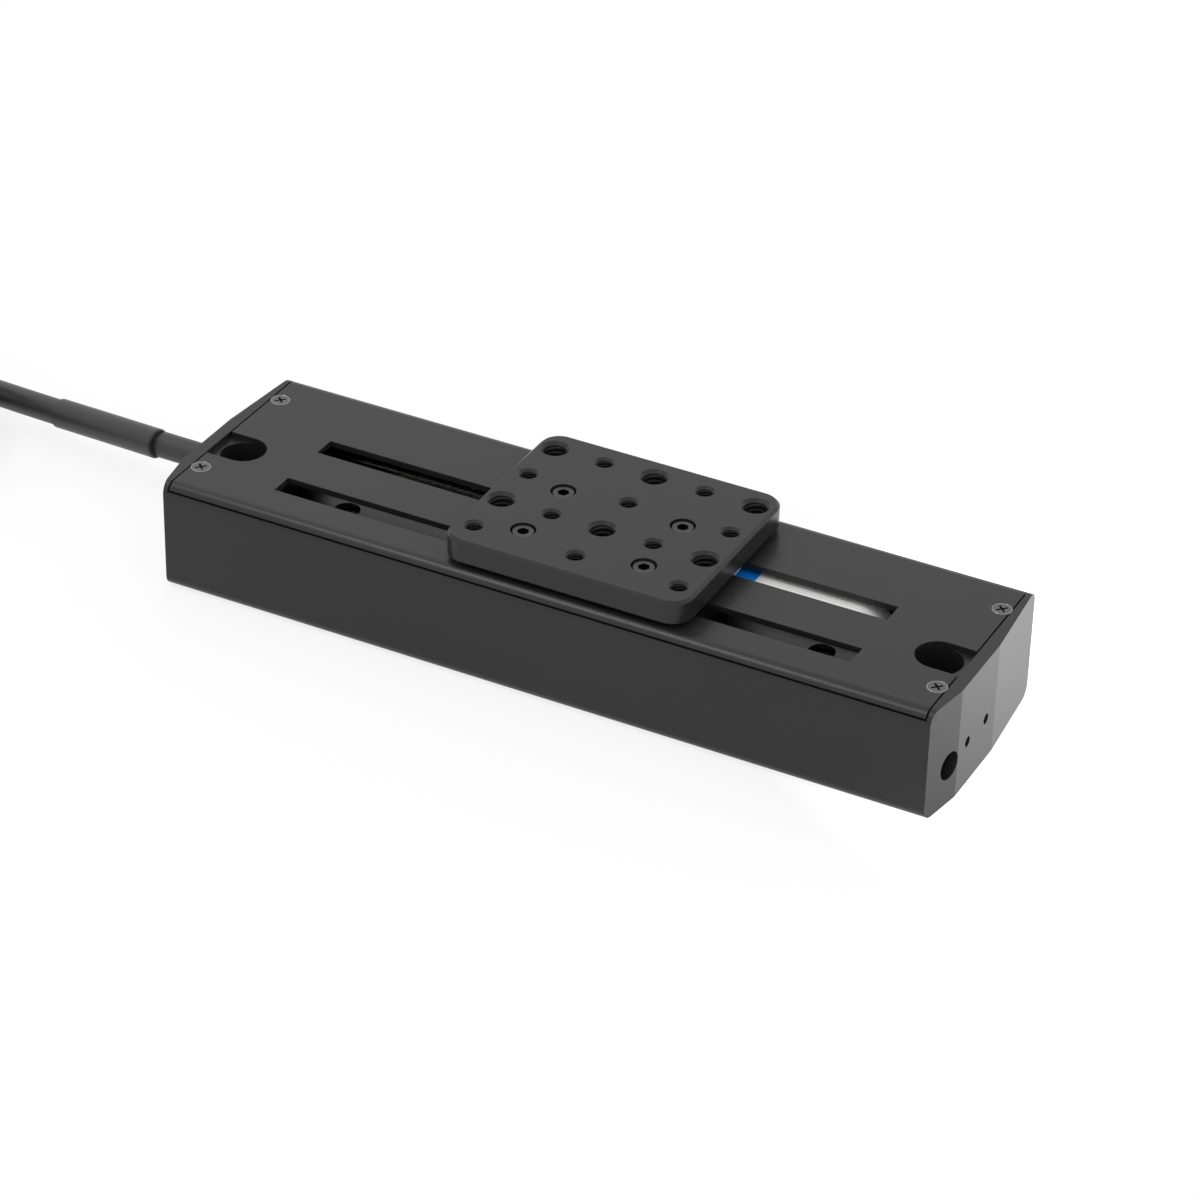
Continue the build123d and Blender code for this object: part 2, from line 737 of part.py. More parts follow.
# The cable's route, from inside the left end to the coil of what is spare
low_layer_z = coil_bottom_z + cable_diameter / 2
high_layer_z = low_layer_z + cable_diameter
coil_x = -203.0
coil_y = -16.0
cable_route = [
    (-pocket_half + cable_stub, cable_y, cable_z),
    (-135.0, cable_y, cable_z),
    (-193.1, 20.9, low_layer_z),
]
tail_route = [
    (-170.1, -35.0, high_layer_z),
    (-166.3, -6.2, 13.4),
    (-184.0, 16.9, 17.2),
    (-212.8, 20.7, coil_bottom_z + coil_section + plug_grip / 2),
]


def route_line(points):
    """Straight runs with tangent arcs; it prints the radii and the length."""
    radii = []
    for before, corner, after in zip(points, points[1:], points[2:]):
        first = Vector(*corner) - Vector(*before)
        second = Vector(*after) - Vector(*corner)
        turn = acos(first.normalized().dot(second.normalized()))
        radii.append(0.45 * min(first.length, second.length) / tan(turn / 2))
    line = FilletPolyline(*points, radius=radii)
    print("bend radii", [round(r) for r in radii], "length", round(line.length, 1))
    return line


def tube(points, diameter):
    """A round tube along a route."""
    line = route_line(points)
    return sweep(Plane(line @ 0, z_dir=line % 0) * Circle(diameter / 2), path=line)


def cable_sleeve():
    """Shrunk sleeve over the first stretch of the cable outside."""
    window = box(
        sleeve_start_x - sleeve_length, sleeve_start_x, cable_y - 20, cable_y + 20, 0, body_height
    )
    return (tube(cable_route, sleeve_diameter) - tube(cable_route, cable_diameter)) & window


def cable_coil():
    """The outer shape of the coiled turns, two beside and two above each other."""
    half = coil_section / 2
    square = Pos(coil_radius, coil_bottom_z + half) * Rectangle(coil_section, coil_section)
    section = Plane.XZ * chamfer(square.vertices(), cable_diameter * 0.3)
    return Pos(coil_x, coil_y) * revolve(section, Axis.Z)


def coil_tie():
    """Hook-and-loop strap round the coil's section."""
    inner = coil_section + 2 * tie_slack
    outer = inner + 2 * tie_thickness
    strap = Box(outer, tie_width, outer) - Box(inner, tie_width, inner)
    place = Pos(coil_x, coil_y - coil_radius, coil_bottom_z + coil_section / 2)
    return place * Rot(0, 0, 90) * strap


def along_tail(start, end, diameter):
    """A round bar that carries on where the cable's end points, between two distances from it."""
    line = route_line(tail_route)
    low = Plane(line @ 1, z_dir=line % 1)
    return low * Pos(0, 0, (start + end) / 2) * Cylinder(diameter / 2, end - start)


def cable_plug():
    """Round plug: a body that holds the cable and a grip ring on its front."""
    body = along_tail(0, plug_length - plug_grip_length, plug_width)
    return body + along_tail(plug_length - plug_grip_length, plug_length, plug_grip)


def plug_shell():
    """Metal nose of the plug, hollow at its front."""
    end = plug_length + nose_length
    return along_tail(plug_length, end, nose_width) - along_tail(plug_length + 1, end + 1, nose_width - 1.6)


def save(name, shape):
    if isinstance(shape, (list, tuple)):
        shape = Compound(children=list(shape)) if len(shape) > 1 else shape[0]
    export_step(shape, f"parts/{name}.step")
    print(f"{name}: {shape.volume:.1f} mm3")


def main():
    save("housing", housing())
    save("top_cover", top_cover())
    save("cover_screws", [countersunk_screw(x, y) for x, y in cover_screw_places()])
    save("guide_rail", guide_rail())
    save("rail_screws", rail_screws())
    save("bearing_block", bearing_block())
    save("bearing_end_caps", bearing_end_caps())
    save("bearing_seals", bearing_seals())
    save("front_riser", riser(front_slot_y))
    save("rear_riser", riser(rear_slot_y))
    save("platform", platform())
    save("platform_screws", platform_screws())
    save("motor_yoke", motor_yoke())
    save("lower_magnets", magnets(True))
    save("upper_magnets", magnets(False))
    save("motor_coil", motor_coil())
    save("coil_bracket", coil_bracket())
    save("bracket_screws", bracket_screws())
    save("carriage_board", carriage_board())
    save("carriage_socket", carriage_socket())
    save("ribbon_tab", ribbon_tab())
    save("ribbon_upper_run", ribbon_upper_run())
    save("ribbon_bend", ribbon_bend())
    save("ribbon_lower_run", ribbon_lower_run())
    save("fixed_board", fixed_board())
    save("fixed_socket", fixed_socket())
    save("encoder_scale", encoder_scale())
    save("read_head", read_head())
    save("sensor_board", sensor_board())
    save("home_sensor", home_sensor())
    save("sensor_screws", sensor_screws())
    save("end_bumpers", end_bumpers())
    save("port_screw", port_screw())
    save("cable_boot", cable_boot())
    save("cable", tube(cable_route, cable_diameter))
    save("cable_sleeve", cable_sleeve())
    save("cable_coil", cable_coil())
    save("coil_tie", coil_tie())
    save("cable_tail", tube(tail_route, cable_diameter))
    save("cable_plug", cable_plug())
    save("plug_shell", plug_shell())
    print("cable in the coil about", round(2 * pi * coil_radius * coil_turns), "mm")


main()
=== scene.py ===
# %% [markdown]
# A low linear stage for an optical table, dressed over its CAD solids. The solids already have the
# true shapes, so most of the work is light, finishes and the small things that are too fine for CAD:
# threads, a ribbon that rolls, a ribbed cable boot and the turns of the cable.

# %% Load the frame
from math import cos, pi, radians, sin

import bpy
from mathutils import Matrix, Vector


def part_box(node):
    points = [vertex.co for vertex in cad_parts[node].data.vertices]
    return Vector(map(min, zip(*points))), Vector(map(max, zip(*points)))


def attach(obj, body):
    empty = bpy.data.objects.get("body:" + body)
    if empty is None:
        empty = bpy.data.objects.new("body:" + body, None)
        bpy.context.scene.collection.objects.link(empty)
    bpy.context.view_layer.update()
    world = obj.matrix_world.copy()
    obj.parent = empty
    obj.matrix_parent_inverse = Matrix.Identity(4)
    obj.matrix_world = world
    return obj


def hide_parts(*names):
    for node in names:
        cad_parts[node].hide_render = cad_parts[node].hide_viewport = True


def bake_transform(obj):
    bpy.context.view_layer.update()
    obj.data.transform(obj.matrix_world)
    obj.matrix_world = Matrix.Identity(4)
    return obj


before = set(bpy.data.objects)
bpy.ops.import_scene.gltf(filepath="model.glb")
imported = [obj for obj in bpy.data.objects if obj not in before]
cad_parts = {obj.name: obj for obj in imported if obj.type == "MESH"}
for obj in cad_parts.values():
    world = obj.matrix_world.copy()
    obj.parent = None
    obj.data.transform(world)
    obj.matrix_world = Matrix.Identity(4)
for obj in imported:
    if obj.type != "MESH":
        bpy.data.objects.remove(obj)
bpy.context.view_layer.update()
mm = 0.001
print("nodes", len(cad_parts))

# %% [markdown]
# The camera comes first, because the cable's put-away coil has to lie outside its view. Its place was
# worked out from the edges and holes of the object: where it stands, what it looks at, how far it
# leans, and its long lens. Building its matrix from three directions keeps the small lean exact.

# %% Camera
camera_place = Vector((370.0, -723.7, 533.4)) * mm
camera_target = Vector((-5.6, 15.56, 0.0)) * mm
camera_lean = radians(1.35)
camera_lens = 128.4

back = (camera_place - camera_target).normalized()
level = back.cross(Vector((0, 0, 1))).normalized() * -1
upward = back.cross(level)
right_side = level * cos(camera_lean) + upward * sin(camera_lean)
up_side = upward * cos(camera_lean) - level * sin(camera_lean)
camera = bpy.data.objects.new("camera", bpy.data.cameras.new("camera"))
bpy.context.scene.collection.objects.link(camera)
camera.matrix_world = Matrix.Translation(camera_place) @ Matrix(
    (right_side, up_side, back)
).transposed().to_4x4()
camera.data.lens = camera_lens
camera.data.sensor_width = 36
camera.data.clip_end = 10
bpy.context.scene.camera = camera
print("camera", [round(v, 3) for v in camera_place])

# %% [markdown]
# Colours are written as a painter's hex values, which are sRGB, while the shader wants linear light.
# One function turns them. Another adds a node, sets its values and joins its inputs, which keeps every
# material to a few readable lines.

# %% Colour and node helpers
def linear(hexa):
    """An sRGB hex colour as the linear colour that the shader mixes with."""
    parts = [int(hexa[i:i + 2], 16) / 255 for i in (1, 3, 5)]
    return tuple(c / 12.92 if c <= 0.04045 else ((c + 0.055) / 1.055) ** 2.4 for c in parts) + (1,)


def add(tree, kind, values=(), joins=(), **settings):
    """Adds a node: settings on the node, values on its inputs, joins from other sockets to its inputs."""
    node = tree.nodes.new(kind)
    for name, value in settings.items():
        setattr(node, name, value)
    for name, value in dict(values).items():
        node.inputs[name].default_value = value
    for name, socket in dict(joins).items():
        tree.links.new(socket, node.inputs[name])
    return node


def start_material(name, colour, roughness, metallic=0.0):
    """A material with its main shader set and its node tree, ready for more."""
    made = bpy.data.materials.new(name)
    made.use_nodes = True
    shader = made.node_tree.nodes["Principled BSDF"]
    shader.inputs["Base Color"].default_value = linear(colour)
    shader.inputs["Roughness"].default_value = roughness
    shader.inputs["Metallic"].default_value = metallic
    return made, made.node_tree, shader


def grain(tree, shader, size_mm, depth_mm, vary=0.0, roughness=0.4):
    """Fine relief of one grain size, and a little change of roughness with it."""
    place = add(tree, "ShaderNodeTexCoord")
    noise = add(
        tree, "ShaderNodeTexNoise", {"Scale": 1 / (size_mm * mm), "Detail": 3.0},
        {"Vector": place.outputs["Object"]},
    )
    bump = add(
        tree, "ShaderNodeBump", {"Strength": 1.0, "Distance": depth_mm * mm},
        {"Height": noise.outputs["Fac"]},
    )
    tree.links.new(bump.outputs["Normal"], shader.inputs["Normal"])
    if vary:
        spread = add(
            tree, "ShaderNodeMapRange",
            {"To Min": roughness - vary, "To Max": roughness + vary},
            {"Value": noise.outputs["Fac"]},
        )
        tree.links.new(spread.outputs["Result"], shader.inputs["Roughness"])
    return bump


print("black anodising in linear light", [round(c, 4) for c in linear("#1b1b1c")[:3]])

# %% [markdown]
# The cable is one flexible round lead. It leaves the left end level, sinks to the table beyond the
# picture's edge, and the spare length is wound into a small tied coil. One smooth spline has the same
# listed points as the solids, and the turns are more points of it, made by a loop: the lead moves
# from the outer lane to the inner one, climbs, and comes back out on top, so that no turn meets
# another.

# %% Cable
cable_diameter = 6.4 * mm
coil_centre = Vector((-203.0, -16.0, 0.0)) * mm
lane = 35.0 * mm
low_layer = 4.4 * mm
high_layer = low_layer + cable_diameter
half = cable_diameter / 2
join_angle = radians(75)
to_inner_lane = (0.62, 0.80)
to_upper_layer = (1.45, 1.62)
to_outer_lane = (2.25, 2.45)
rise_to_plug = 2.62
last_turn = 3.04
route = [(-77.0, 7.5, 12.4), (-135.0, 7.5, 12.4)]
tail_end = Vector((-212.8, 20.7, 21.4)) * mm


def between(turn, first, last):
    """0 before first, 1 after last, and a smooth step in between."""
    t = min(max((turn - first) / (last - first), 0), 1)
    return t * t * (3 - 2 * t)


def coil_point(turn):
    """Where the lead's middle lies after so many turns, counted from where it joins the coil."""
    outward = 1 - 2 * between(turn, *to_inner_lane) + 2 * between(turn, *to_outer_lane)
    height = low_layer + cable_diameter * between(turn, *to_upper_layer)
    height += (tail_end[2] - high_layer) * between(turn, rise_to_plug, last_turn)
    angle = join_angle + turn * 2 * pi
    radius = lane + half * outward
    return coil_centre + Vector((cos(angle) * radius, sin(angle) * radius, height))


points = [Vector(p) * mm for p in route]
steps_per_turn = 24
points += [coil_point(k / steps_per_turn) for k in range(int(last_turn * steps_per_turn))]
points.append(tail_end)


def spline_piece(name, places, thickness):
    """A round lead along one smooth open spline. Each point carries the lead's radius."""
    curve = bpy.data.curves.new(name, "CURVE")
    curve.dimensions = "3D"
    curve.bevel_depth = 1.0
    curve.bevel_resolution = 6
    curve.use_fill_caps = True
    line = curve.splines.new("NURBS")
    line.points.add(len(places) - 1)
    for point, place in zip(line.points, places):
        point.co = (*place, 1)
        point.radius = thickness / 2
    line.order_u = 3
    line.use_endpoint_u = True
    line.resolution_u = 5
    piece = bpy.data.objects.new(name, curve)
    bpy.context.scene.collection.objects.link(piece)
    return piece


cable = spline_piece("cable_lead", points, cable_diameter)
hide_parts("cable", "cable_coil", "cable_tail")
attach(cable, "base")


def centre_line(piece):
    """Points along a curve piece's own line, read from it with its thickness taken off."""
    copy = piece.data.copy()
    copy.bevel_depth = 0
    bare = bpy.data.objects.new("bare line", copy)
    mesh = bpy.data.meshes.new_from_object(bare)
    line = [v.co.copy() for v in mesh.vertices]
    bpy.data.objects.remove(bare)
    return line


cable_line = centre_line(cable)

# %% [markdown]
# Mesh pieces are built point by point. Rings of points along a line, joined to their neighbours, give
# tubes, ribs and strips of film, so one helper makes them: it takes a list of rings with the
# same number of points.

# %% Mesh helpers
def mesh_piece(name, verts, faces, body, material, smooth=True):
    """A mesh object in the object's frame that rides on a body."""
    mesh = bpy.data.meshes.new(name)
    mesh.from_pydata([tuple(v) for v in verts], [], faces)
    mesh.update()
    piece = bpy.data.objects.new(name, mesh)
    bpy.context.scene.collection.objects.link(piece)
    if smooth:
        mesh.shade_smooth()
    piece.data.materials.append(material)
    if body:
        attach(piece, body)
    return piece


def joined_rings(rings, closed_ends=True):
    """Vertices and faces of a skin over rings of points."""
    count = len(rings[0])
    verts = [p for ring in rings for p in ring]
    faces = []
    for r in range(len(rings) - 1):
        for k in range(count):
            n = (k + 1) % count
            faces.append((r * count + k, r * count + n, (r + 1) * count + n, (r + 1) * count + k))
    if closed_ends:
        faces.append(tuple(range(count))[::-1])
        last = (len(rings) - 1) * count
        faces.append(tuple(last + k for k in range(count)))
    return verts, faces


def ring_x(x, y, z, radius, count=40):
    """A circle of points around a line along X."""
    return [Vector((x, y + radius * cos(2 * pi * k / count), z + radius * sin(2 * pi * k / count)))
            for k in range(count)]


print("helpers ready")

# %% [markdown]
# Black anodised aluminium is bare metal whose oxide skin has taken a black dye. What the eye sees is
# the skin, a clear hard layer: almost black straight on, and a pale sheen at a low angle, because it
# mirrors the white room as glass does. So it isn't made as a metal. The housing's walls were bead
# blasted first, which leaves a fine sparkle; the cover and the platform are smoother. The dyed skin
# is porous, so it mirrors a little less than glass, which is what the specular level says.

# %% Black anodised aluminium
skin_level = 0.35
worn_edge = 0.18 * mm


def anodised(name, colour, roughness, grain_mm, depth_mm):
    made, tree, shader = start_material(name, colour, roughness)
    shader.inputs["IOR"].default_value = 1.48
    shader.inputs["Specular IOR Level"].default_value = skin_level
    bump = grain(tree, shader, grain_mm, depth_mm, 0.04, roughness)
    edge = add(tree, "ShaderNodeBevel", {"Radius": worn_edge}, samples=6)
    tree.links.new(edge.outputs["Normal"], bump.inputs["Normal"])
    cloud = add(
        tree, "ShaderNodeTexNoise", {"Scale": 1 / (22 * mm), "Detail": 2.0},
        {"Vector": add(tree, "ShaderNodeTexCoord").outputs["Object"]},
    )
    base = linear(colour)
    pale = tuple(c * 1.25 for c in base[:3]) + (1,)
    mix = add(
        tree, "ShaderNodeMix", {"A": base, "B": pale}, {"Factor": cloud.outputs["Fac"]}, data_type="RGBA"
    )
    tree.links.new(mix.outputs["Result"], shader.inputs["Base Color"])
    return made


body_anodising = anodised("bead-blasted black anodising", "#1d1d1e", 0.36, 0.30, 0.012)
cover_anodising = anodised("satin black anodising of the cover", "#1f1f20", 0.30, 0.22, 0.004)
plate_anodising = anodised("satin black anodising of the platform", "#1e1e1f", 0.30, 0.22, 0.004)
print("anodising for body, cover and platform")

# %% [markdown]
# Hidden parts get what they are made of, too: ground bearing steel, black-oxide screws, nickel-plated
# magnets, circuit boards. A ground surface has long fine lines along the travel; an oxide is a thin
# dark skin with an oily sheen.

# %% Metals
def ground_steel(name, colour, roughness, line_mm):
    made, tree, shader = start_material(name, colour, roughness, 1.0)
    place = add(tree, "ShaderNodeTexCoord")
    stretch = add(
        tree, "ShaderNodeMapping", {"Scale": (20.0, 1 / (line_mm * mm), 1 / (line_mm * mm))},
        {"Vector": place.outputs["Object"]},
    )
    lines = add(
        tree, "ShaderNodeTexNoise", {"Scale": 1.0, "Detail": 4.0}, {"Vector": stretch.outputs["Vector"]}
    )
    bump = add(
        tree, "ShaderNodeBump", {"Strength": 0.6, "Distance": 0.004 * mm}, {"Height": lines.outputs["Fac"]}
    )
    tree.links.new(bump.outputs["Normal"], shader.inputs["Normal"])
    return made


def plain_metal(name, colour, roughness, grain_mm=0.4, depth_mm=0.004):
    made, tree, shader = start_material(name, colour, roughness, 1.0)
    grain(tree, shader, grain_mm, depth_mm, 0.05, roughness)
    return made


rail_steel = ground_steel("ground bearing steel", "#676768", 0.36, 0.25)
block_steel = ground_steel("ground steel of the bearing block", "#8f8f8f", 0.32, 0.25)
oxide = plain_metal("black-oxide screw steel", "#4c4c4d", 0.3)
cross_screw = plain_metal("black-oxide countersunk screws", "#666667", 0.34)
nickel = plain_metal("nickel plating", "#c9c8c4", 0.22)
tin = plain_metal("tinned steel", "#c4c4c2", 0.30)
tape_steel = ground_steel("encoder tape", "#b9b29a", 0.25, 0.2)
clear_anodising = plain_metal("clear anodised aluminium", "#9b9b9c", 0.42)
print("metals ready")

# %% [markdown]
# Plastics and rubber. A cable jacket is smooth PVC with a soft sheen and the faint swell of the wires
# twisted inside it. The ribbon is white polyester film with copper tracks that show as faint lines.

# %% Plastics, film and rubber
def plastic(name, colour, roughness, grain_mm=0.35, depth_mm=0.006):
    made, tree, shader = start_material(name, colour, roughness)
    grain(tree, shader, grain_mm, depth_mm, 0.05, roughness)
    return made


jacket = plastic("cable jacket PVC", "#2b2b2d", 0.42, 1.2, 0.02)
boot_rubber = plastic("boot rubber", "#232324", 0.55, 0.5, 0.01)
sleeve_plastic = plastic("shrink sleeve on the cable", "#2a2a2c", 0.38, 0.9, 0.01)
seal_rubber = plastic("nitrile seal rubber", "#1a1a1a", 0.6)
black_moulding = plastic("black moulded nylon", "#1c1c1d", 0.5)
sensor_moulding = plastic("grey sensor moulding", "#3a3b3d", 0.45)
socket_nylon = plastic("cream nylon socket", "#d8d2bd", 0.45)
coil_resin = plastic("potting resin", "#2a2522", 0.35)
stiffener = plastic("blue polyester stiffener", "#0f7fe0", 0.35)


def board_mask(name, colour):
    made, tree, shader = start_material(name, colour, 0.3)
    grain(tree, shader, 0.8, 0.01, 0.05, 0.3)
    return made


def ribbon_film():
    made, tree, shader = start_material("white ribbon film", "#e6e6e2", 0.4)
    place = add(tree, "ShaderNodeTexCoord")
    split = add(tree, "ShaderNodeSeparateXYZ", joins={"Vector": place.outputs["Object"]})
    track_mm = 1.0
    wave = add(tree, "ShaderNodeMath", joins={0: split.outputs["Y"]}, operation="MULTIPLY")
    wave.inputs[1].default_value = 2 * pi / (track_mm * mm)
    track = add(tree, "ShaderNodeMath", joins={0: wave.outputs[0]}, operation="SINE")
    shade = add(
        tree, "ShaderNodeMapRange", {"From Min": -0.2, "From Max": 0.5}, {"Value": track.outputs[0]}
    )
    mix = add(
        tree, "ShaderNodeMix", {"A": linear("#ececea"), "B": linear("#fafaf8")},
        {"Factor": shade.outputs["Result"]}, data_type="RGBA",
    )
    tree.links.new(mix.outputs["Result"], shader.inputs["Base Color"])
    bump = add(
        tree, "ShaderNodeBump", {"Strength": 0.2, "Distance": 0.01 * mm}, {"Height": shade.outputs["Result"]}
    )
    tree.links.new(bump.outputs["Normal"], shader.inputs["Normal"])
    return made


def woven_strap():
    made, tree, shader = start_material("hook-and-loop strap", "#202022", 0.9)
    place = add(tree, "ShaderNodeTexCoord")
    cells = add(
        tree, "ShaderNodeTexVoronoi", {"Scale": 1 / (0.6 * mm)}, {"Vector": place.outputs["Object"]}
    )
    bump = add(
        tree, "ShaderNodeBump", {"Strength": 0.8, "Distance": 0.15 * mm},
        {"Height": cells.outputs["Distance"]},
    )
    tree.links.new(bump.outputs["Normal"], shader.inputs["Normal"])
    shader.inputs["Sheen Weight"].default_value = 0.3
    return made


green_mask = board_mask("green solder mask", "#174a2a")
# The sensor board's mask is black as painted shade: the board lies in deep shadow under the rear slot, and
# the black stands in for that shade.
painted_shade_mask = board_mask("black solder mask as painted shade", "#101112")
film = ribbon_film()
strap = woven_strap()
cable.data.materials.append(jacket)
print("plastics ready")

# %% Finishes on the CAD solids
finishes = {
    "housing": body_anodising,
    "top_cover": cover_anodising,
    "platform": plate_anodising,
    "cover_screws": cross_screw,
    "platform_screws": oxide,
    "rail_screws": oxide,
    "port_screw": oxide,
    "bracket_screws": oxide,
    "sensor_screws": tin,
    "guide_rail": rail_steel,
    "bearing_block": block_steel,
    "bearing_end_caps": black_moulding,
    "bearing_seals": seal_rubber,
    "front_riser": clear_anodising,
    "rear_riser": clear_anodising,
    "coil_bracket": clear_anodising,
    "motor_yoke": nickel,
    "lower_magnets": nickel,
    "upper_magnets": nickel,
    "motor_coil": coil_resin,
    "carriage_board": green_mask,
    "fixed_board": green_mask,
    # black mask as painted shade of the sensor board
    "sensor_board": painted_shade_mask,
    "carriage_socket": socket_nylon,
    "fixed_socket": socket_nylon,
    "ribbon_tab": stiffener,
    "encoder_scale": tape_steel,
    "read_head": black_moulding,
    "home_sensor": sensor_moulding,
    "end_bumpers": seal_rubber,
    "coil_tie": strap,
    "cable_plug": black_moulding,
    "plug_shell": tin,
}
for node, material in finishes.items():
    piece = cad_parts[node]
    piece.data.materials.clear()
    piece.data.materials.append(material)
print("finished", len(finishes), "solids")

# %% [markdown]
# The tapped holes are what the platform is for. A thread is one ridge wound round the bore, so it is
# made as a helix of small triangles, with the real pitch: 20 threads to the inch in the larger holes,
# 32 in the smaller ones, and 0.5 mm in the small holes of the ends.

# %% Threads
inch = 25.4 * mm
hole_pitch = 12.7 * mm
axis_y = -6.2 * mm
end_hole_z = 11.35 * mm
end_hole_offset = 5.0 * mm
large_start = 1.2 * mm
fine_start = 0.9 * mm
end_start = 0.5 * mm
flank = 0.36
lead_in_steps = 8
platform_low, platform_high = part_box("platform")
pattern_x = (platform_low[0] + platform_high[0]) / 2
pattern_y = 0.3 * mm


def thread(place, axis_turn, core_radius, pitch, depth, height, steps_per_turn=28):
    """Vertices and faces of one ridge inside a bore that runs down from place."""
    verts, faces = [], []
    count = int(depth / pitch * steps_per_turn)
    for k in range(count + 1):
        angle = 2 * pi * k / steps_per_turn
        down = -depth * k / count
        ease = min(1, k / lead_in_steps, (count - k) / lead_in_steps)
        for radius, shift in (
            (core_radius + 0.02 * mm, pitch * flank), (core_radius - height * ease, 0.0),
            (core_radius + 0.02 * mm, -pitch * flank),
        ):
            spot = Vector((radius * cos(angle), radius * sin(angle), down + shift))
            verts.append(place + axis_turn @ spot)
    for k in range(count):
        a = k * 3
        faces += [(a, a + 1, a + 4, a + 3), (a + 1, a + 2, a + 5, a + 4)]
    return verts, faces


def threads(name, places, axis_turn, core_radius, pitch, depth, height, body, material):
    """The ridges of a row of equal holes, as one piece."""
    verts, faces = [], []
    for place in places:
        more, sides = thread(place, axis_turn, core_radius, pitch, depth, height)
        shift = len(verts)
        verts += more
        faces += [tuple(i + shift for i in side) for side in sides]
    return mesh_piece(name, verts, faces, body, material)


upright = Matrix.Identity(3)
large_places, fine_places = [], []
top = platform_high[2]
for row in range(4):
    for column in range(5):
        spot = Vector((
            pattern_x + hole_pitch * (column - 2), pattern_y + hole_pitch * (1.5 - row), top
        ))
        if row % 2 == 0 and column % 2 == 0:
            large_places.append(spot - Vector((0, 0, large_start)))
        elif row % 2 == 0 or column % 2 == 0:
            fine_places.append(spot - Vector((0, 0, fine_start)))
threads(
    "large_threads", large_places, upright, 2.65 * mm, inch / 20, 3.7 * mm, 0.36 * mm,
    "carriage", plate_anodising,
)
threads(
    "fine_threads", fine_places, upright, 1.75 * mm, inch / 32, 4.2 * mm, 0.24 * mm,
    "carriage", plate_anodising,
)
body_low, body_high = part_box("housing")
for side, name in ((1, "right"), (-1, "left")):
    tip = body_high[0] if side > 0 else body_low[0]
    turn = Matrix.Rotation(side * pi / 2, 3, "Y")
    places = [
        Vector((tip - side * end_start, axis_y + step, end_hole_z))
        for step in (-end_hole_offset, end_hole_offset)
    ]
    threads(
        name + "_end_threads", places, turn, 1.25 * mm, 0.5 * mm, 5.0 * mm, 0.16 * mm,
        "base", body_anodising,
    )
print("threads in", len(large_places) + len(fine_places), "holes of the platform")

# %% [markdown]
# The flat ribbon carries power and signals to the moving coil. It lies on a ledge, turns over in a
# half circle and comes back to the carriage. When the carriage moves, the bend rolls along at half its
# speed. Three pieces make it here: the two straight runs and the half circle of the bend.

# %% Ribbon
upper_low, upper_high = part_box("ribbon_upper_run")
lower_low, lower_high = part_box("ribbon_lower_run")
bend_low, bend_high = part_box("ribbon_bend")


def strip(name, low, high, node, parts=24):
    """A straight stretch of film with enough rows of points to stretch evenly."""
    rings = []
    for k in range(parts + 1):
        x = low[0] + (high[0] - low[0]) * k / parts
        rings.append([Vector((x, y, z)) for y, z in (
            (low[1], low[2]), (high[1], low[2]), (high[1], high[2]), (low[1], high[2])
        )])
    verts, faces = joined_rings(rings)
    piece = mesh_piece(name, verts, faces, None, film, smooth=False)
    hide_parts(node)
    return piece


def rolled(low, high, parts=28):
    """The half circle of film where the ribbon turns over."""
    centre_x = low[0]
    centre_z = (low[2] + high[2]) / 2
    outer = (high[2] - low[2]) / 2
    inner = outer - (upper_high[2] - upper_low[2])
    rings = []
    for k in range(parts + 1):
        angle = pi / 2 - pi * k / parts
        rings.append([
            Vector((centre_x + r * cos(angle), y, centre_z + r * sin(angle)))
            for r, y in ((inner, low[1]), (inner, high[1]), (outer, high[1]), (outer, low[1]))
        ])
    verts, faces = joined_rings(rings)
    piece = mesh_piece("ribbon_roll", verts, faces, None, film, smooth=False)
    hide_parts("ribbon_bend")
    return piece


upper_piece = strip("ribbon_top", upper_low, upper_high, "ribbon_upper_run")
lower_piece = strip("ribbon_bottom", lower_low, lower_high, "ribbon_lower_run", 48)
roll_piece = rolled(bend_low, bend_high)
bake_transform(upper_piece)
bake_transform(lower_piece)
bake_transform(roll_piece)
print("ribbon", round((upper_high[0] - upper_low[0]) * 1000, 1), "mm above")

# %% [markdown]
# Where a lead leaves a housing it is held by a rubber boot, so that it isn't bent sharply at the edge.
# The boot is a short taper with rings cut into it, which let it flex. It is turned from a profile:
# radius against distance, swept round the cable.

# %% Cable boot
boot_low, boot_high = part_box("cable_boot")
cable_y, cable_z = 7.5 * mm, 12.4 * mm
collar_end = body_low[0] - 1.6 * mm


def boot():
    profile = [(boot_high[0], 3.2), (boot_high[0], 4.2), (body_low[0] + 1.2 * mm, 4.2)]
    profile += [(body_low[0] + 1.0 * mm, 4.9), (collar_end + 0.3 * mm, 5.0), (collar_end, 4.7)]
    ribs = 4
    length = boot_low[0] - collar_end
    for k in range(ribs):
        for part, drop in ((0.05, 0.0), (0.45, 0.0), (0.55, 0.45), (0.95, 0.45)):
            t = (k + part) / ribs
            profile.append((collar_end + length * t, 4.2 - 0.3 * t - drop))
    profile += [(boot_low[0], 3.6), (boot_low[0], 3.2)]
    rings = [ring_x(x, cable_y, cable_z, r * mm) for x, r in profile]
    verts, faces = joined_rings(rings, closed_ends=False)
    piece = mesh_piece("ribbed_boot", verts, faces, "base", boot_rubber)
    piece.data.set_sharp_from_angle(angle=radians(35))
    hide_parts("cable_boot")
    return piece


boot_piece = boot()
print("boot", round((boot_high[0] - boot_low[0]) * 1000, 1), "mm long")

# %% Sleeve on the cable
sleeve_low, sleeve_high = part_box("cable_sleeve")
sleeve_radius = 3.6 * mm
sleeve_lip = 0.35 * mm
lip_length = 0.3 * mm
sleeve_sides = 40


